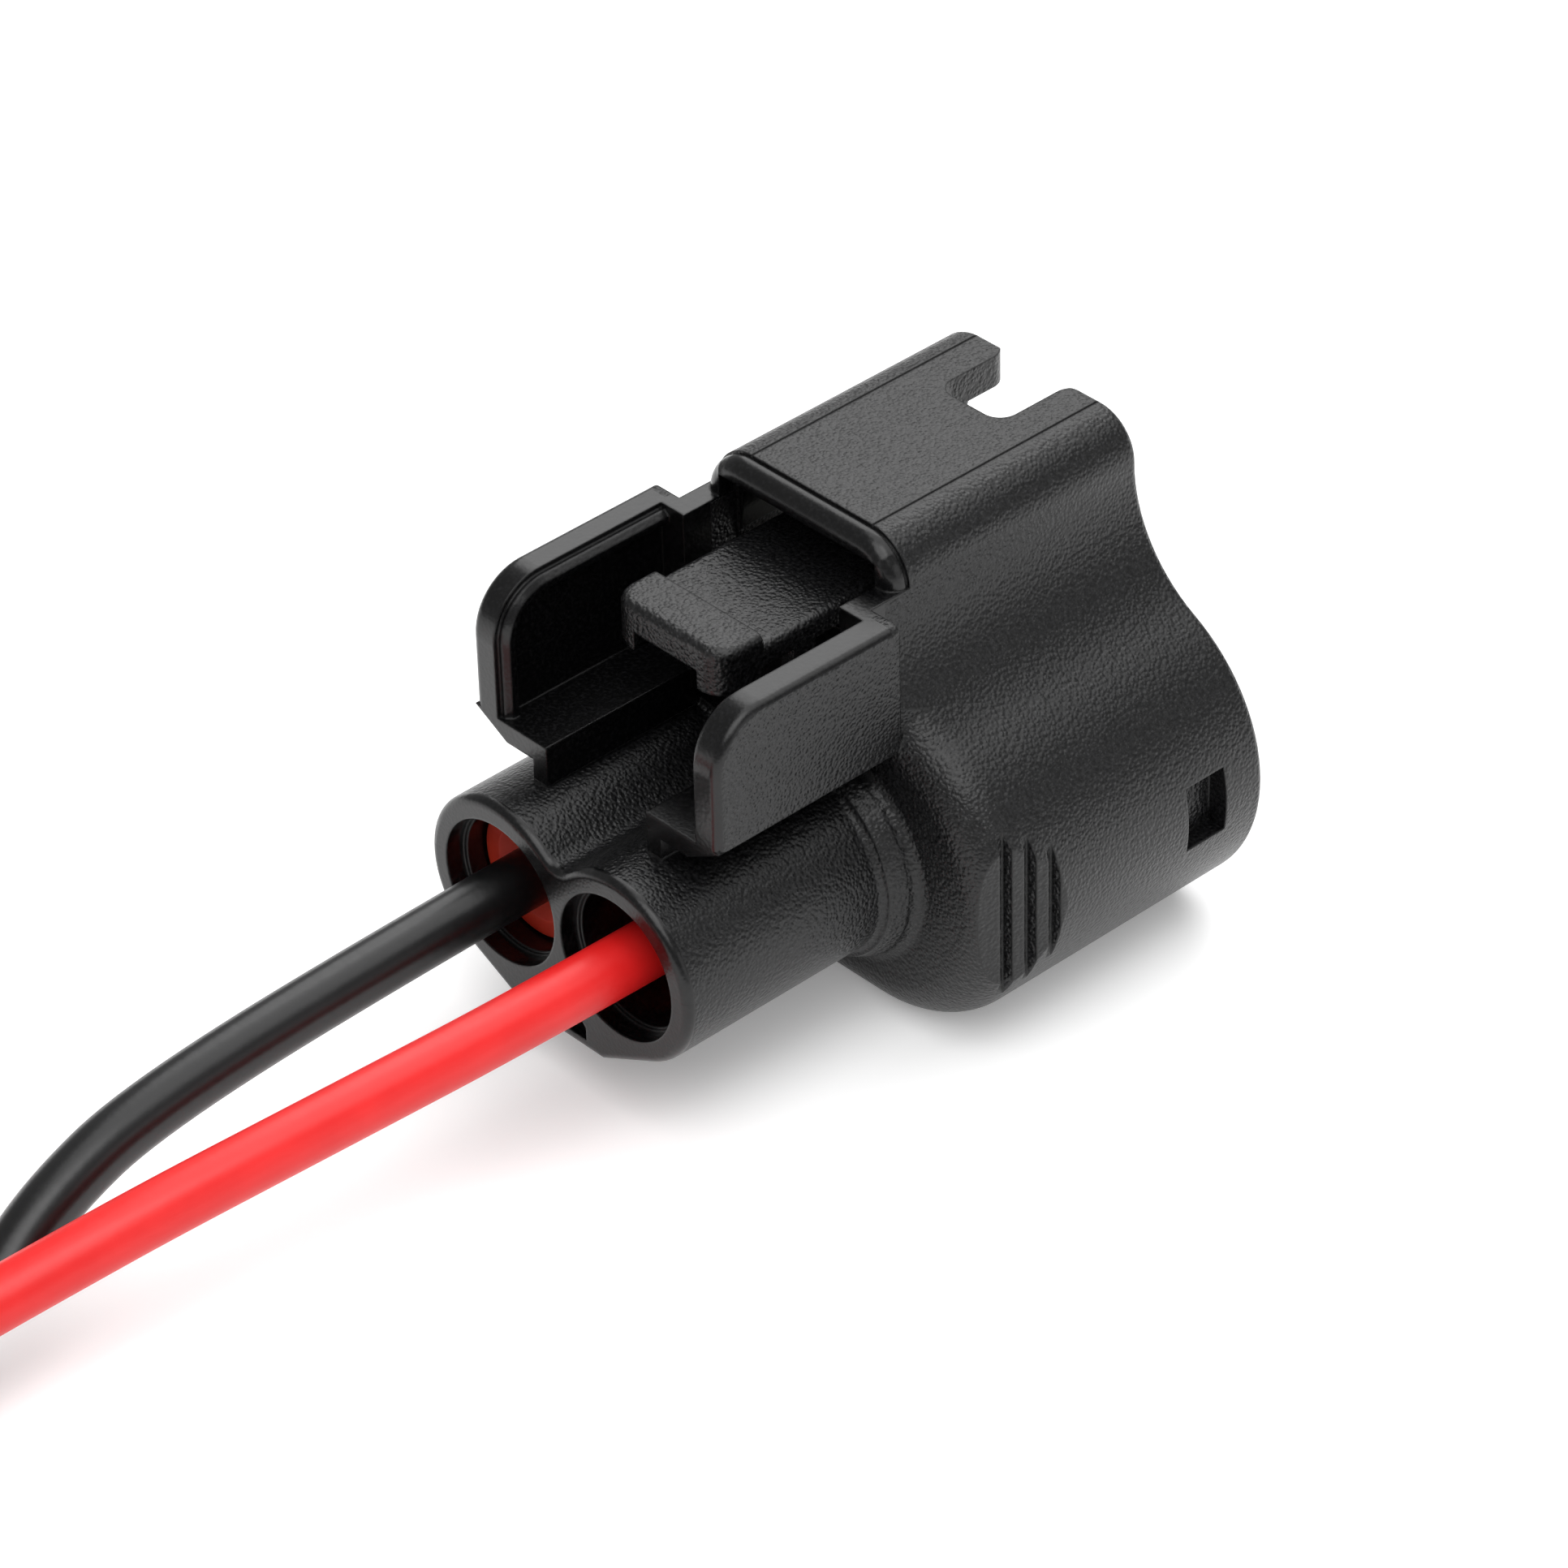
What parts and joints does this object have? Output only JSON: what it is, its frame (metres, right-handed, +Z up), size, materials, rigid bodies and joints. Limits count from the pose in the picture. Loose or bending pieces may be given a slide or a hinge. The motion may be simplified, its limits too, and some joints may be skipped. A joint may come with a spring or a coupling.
{
  "type": "prewired connector plug",
  "caption": "Sealed rectangular connector plug with a latched hood over a contact nose and two insulated leads, coiled and tied, with bare tinned ends.",
  "frame": {"origin": "on the resting surface, below the middle of the connector's length and width, leads apart", "axes": "+Y to the mating end, +Z up to the latch side, +X across the two bores"},
  "size_m": [0.0507, 0.0981, 0.0235],
  "materials": {
    "housing_plastic": "satin",
    "retainer_plastic": "matte",
    "seal_rubber": "satin",
    "ring_rubber": "satin",
    "tinned_contact": "satin",
    "spring_steel": "satin",
    "copper_strands": "satin",
    "insulation_black": "satin",
    "insulation_red": "satin",
    "tinned_wire": "satin",
    "tie_plastic": "matte"
  },
  "bodies": {
    "root": {"housing": "housing_plastic", "terminal_retainer": "retainer_plastic", "interface_seal": "ring_rubber", "wire_seal_black": "seal_rubber", "wire_seal_red": "seal_rubber", "contact_black": "tinned_contact", "contact_red": "tinned_contact", "contact_sleeve_black": "spring_steel", "contact_sleeve_red": "spring_steel", "conductor_black": "copper_strands", "conductor_red": "copper_strands", "lead_black": "insulation_black", "lead_red": "insulation_red", "coil_black": "insulation_black", "coil_red": "insulation_red", "tinned_end_black": "tinned_wire", "tinned_end_red": "tinned_wire", "coil_tie": "tie_plastic"}
  },
  "joints": []
}
